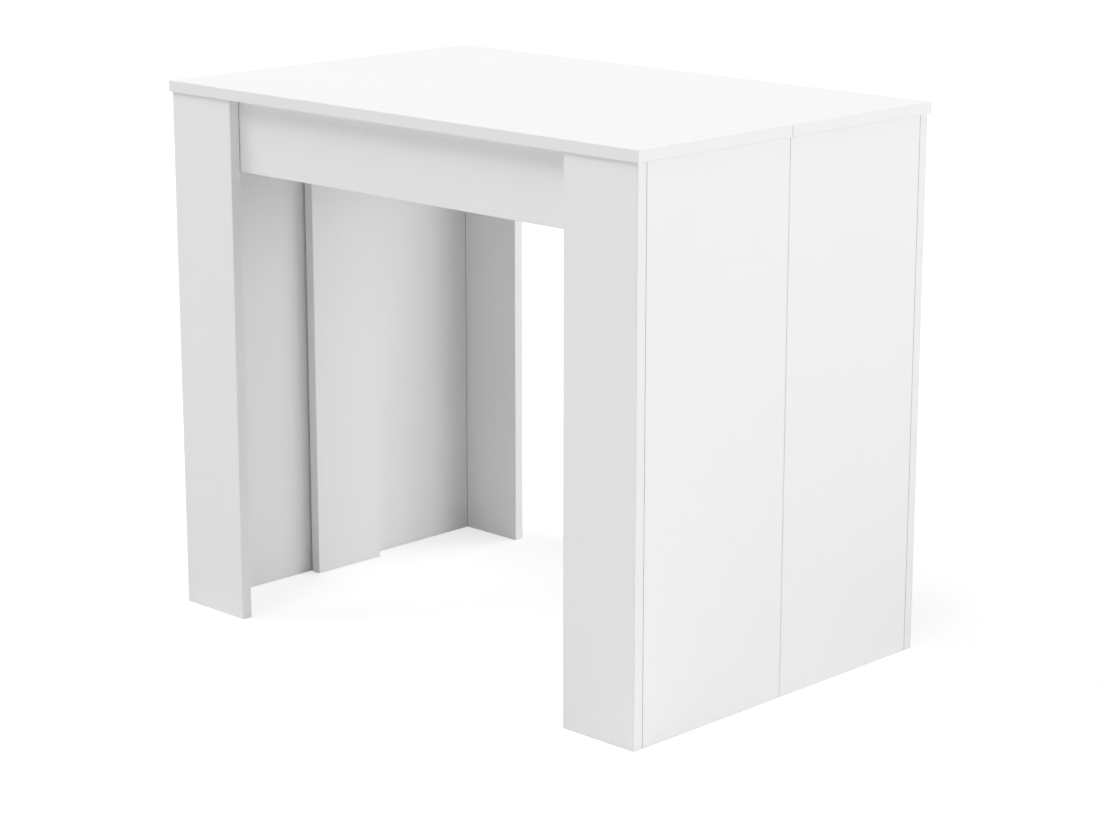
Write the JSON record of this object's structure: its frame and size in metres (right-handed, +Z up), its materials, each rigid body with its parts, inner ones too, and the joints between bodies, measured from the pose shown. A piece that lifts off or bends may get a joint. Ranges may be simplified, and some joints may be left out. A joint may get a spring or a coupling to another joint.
{
  "type": "extendable console table",
  "caption": "White board console table whose split top and L-shaped panel legs pull apart on nested telescopic rails, with a centre leg, to form a long dining table.",
  "frame": {"origin": "on the floor, at the middle of the closed console's outline", "axes": "+X along the long side, to the right seen from the front; +Y to the rear, the way the rear half pulls out; +Z up"},
  "size_m": [0.9, 0.58, 0.77],
  "materials": {
    "white_board": "satin white melamine",
    "anodised_aluminium": "satin anodised",
    "black_nylon": "moulded",
    "zinc_steel": "zinc plated",
    "beech": "bare"
  },
  "bodies": {
    "front_half": {"front_apron": "white_board", "front_cam_bolts": "zinc_steel", "front_cams": "zinc_steel", "front_dowels": "beech", "front_left_side": "white_board", "front_left_stile": "white_board", "front_rail_pads": "black_nylon", "front_rail_screws": "zinc_steel", "front_right_side": "white_board", "front_right_stile": "white_board", "front_runners": "black_nylon", "front_top": "white_board", "left_rail_1": "anodised_aluminium", "right_rail_1": "anodised_aluminium", "seam_pins": "zinc_steel"},
    "rear_half": {"left_rail_7": "anodised_aluminium", "rear_apron": "white_board", "rear_cam_bolts": "zinc_steel", "rear_cams": "zinc_steel", "rear_dowels": "beech", "rear_left_side": "white_board", "rear_left_stile": "white_board", "rear_rail_pads": "black_nylon", "rear_rail_screws": "zinc_steel", "rear_right_side": "white_board", "rear_right_stile": "white_board", "rear_runners": "black_nylon", "rear_top": "white_board", "right_rail_7": "anodised_aluminium"},
    "center_frame": {"center_beam": "white_board", "center_cam_bolts": "zinc_steel", "center_cams": "zinc_steel", "center_dowels": "beech", "center_left_leg": "white_board", "center_rail_pads": "black_nylon", "center_rail_screws": "zinc_steel", "center_right_leg": "white_board", "center_runners": "black_nylon", "left_rail_4": "anodised_aluminium", "right_rail_4": "anodised_aluminium"},
    "left_rail_2": {"left_rail_2": "anodised_aluminium", "left_rail_2_runners": "black_nylon"},
    "left_rail_3": {"left_rail_3": "anodised_aluminium", "left_rail_3_runners": "black_nylon"},
    "left_rail_5": {"left_rail_5": "anodised_aluminium", "left_rail_5_runners": "black_nylon"},
    "left_rail_6": {"left_rail_6": "anodised_aluminium", "left_rail_6_runners": "black_nylon"},
    "right_rail_2": {"right_rail_2": "anodised_aluminium", "right_rail_2_runners": "black_nylon"},
    "right_rail_3": {"right_rail_3": "anodised_aluminium", "right_rail_3_runners": "black_nylon"},
    "right_rail_5": {"right_rail_5": "anodised_aluminium", "right_rail_5_runners": "black_nylon"},
    "right_rail_6": {"right_rail_6": "anodised_aluminium", "right_rail_6_runners": "black_nylon"}
  },
  "joints": [
    {"name": "left_rail_2_slide", "type": "slide", "parent": "front_half", "child": "left_rail_2", "axis": [0, 1, 0], "range_m": [0, 0.3]},
    {"name": "left_rail_3_slide", "type": "slide", "parent": "left_rail_2", "child": "left_rail_3", "axis": [0, 1, 0], "range_m": [0, 0.3]},
    {"name": "center_frame_slide", "type": "slide", "parent": "left_rail_3", "child": "center_frame", "axis": [0, 1, 0], "range_m": [0, 0.3]},
    {"name": "left_rail_5_slide", "type": "slide", "parent": "center_frame", "child": "left_rail_5", "axis": [0, 1, 0], "range_m": [0, 0.3]},
    {"name": "left_rail_6_slide", "type": "slide", "parent": "left_rail_5", "child": "left_rail_6", "axis": [0, 1, 0], "range_m": [0, 0.3]},
    {"name": "rear_half_slide", "type": "slide", "parent": "left_rail_6", "child": "rear_half", "axis": [0, 1, 0], "range_m": [0, 0.3]},
    {"name": "right_rail_2_slide", "type": "slide", "parent": "front_half", "child": "right_rail_2", "axis": [0, 1, 0], "range_m": [0, 0.3]},
    {"name": "right_rail_3_slide", "type": "slide", "parent": "right_rail_2", "child": "right_rail_3", "axis": [0, 1, 0], "range_m": [0, 0.3]},
    {"name": "right_rail_5_slide", "type": "slide", "parent": "center_frame", "child": "right_rail_5", "axis": [0, 1, 0], "range_m": [0, 0.3]},
    {"name": "right_rail_6_slide", "type": "slide", "parent": "right_rail_5", "child": "right_rail_6", "axis": [0, 1, 0], "range_m": [0, 0.3]}
  ],
  "couplings": [
    {"joint": "left_rail_2_slide", "follows": "rear_half_slide", "ratio": 1},
    {"joint": "left_rail_3_slide", "follows": "rear_half_slide", "ratio": 1},
    {"joint": "center_frame_slide", "follows": "rear_half_slide", "ratio": 1},
    {"joint": "left_rail_5_slide", "follows": "rear_half_slide", "ratio": 1},
    {"joint": "left_rail_6_slide", "follows": "rear_half_slide", "ratio": 1},
    {"joint": "right_rail_2_slide", "follows": "rear_half_slide", "ratio": 1},
    {"joint": "right_rail_3_slide", "follows": "rear_half_slide", "ratio": 1},
    {"joint": "right_rail_5_slide", "follows": "rear_half_slide", "ratio": 1},
    {"joint": "right_rail_6_slide", "follows": "rear_half_slide", "ratio": 1}
  ]
}
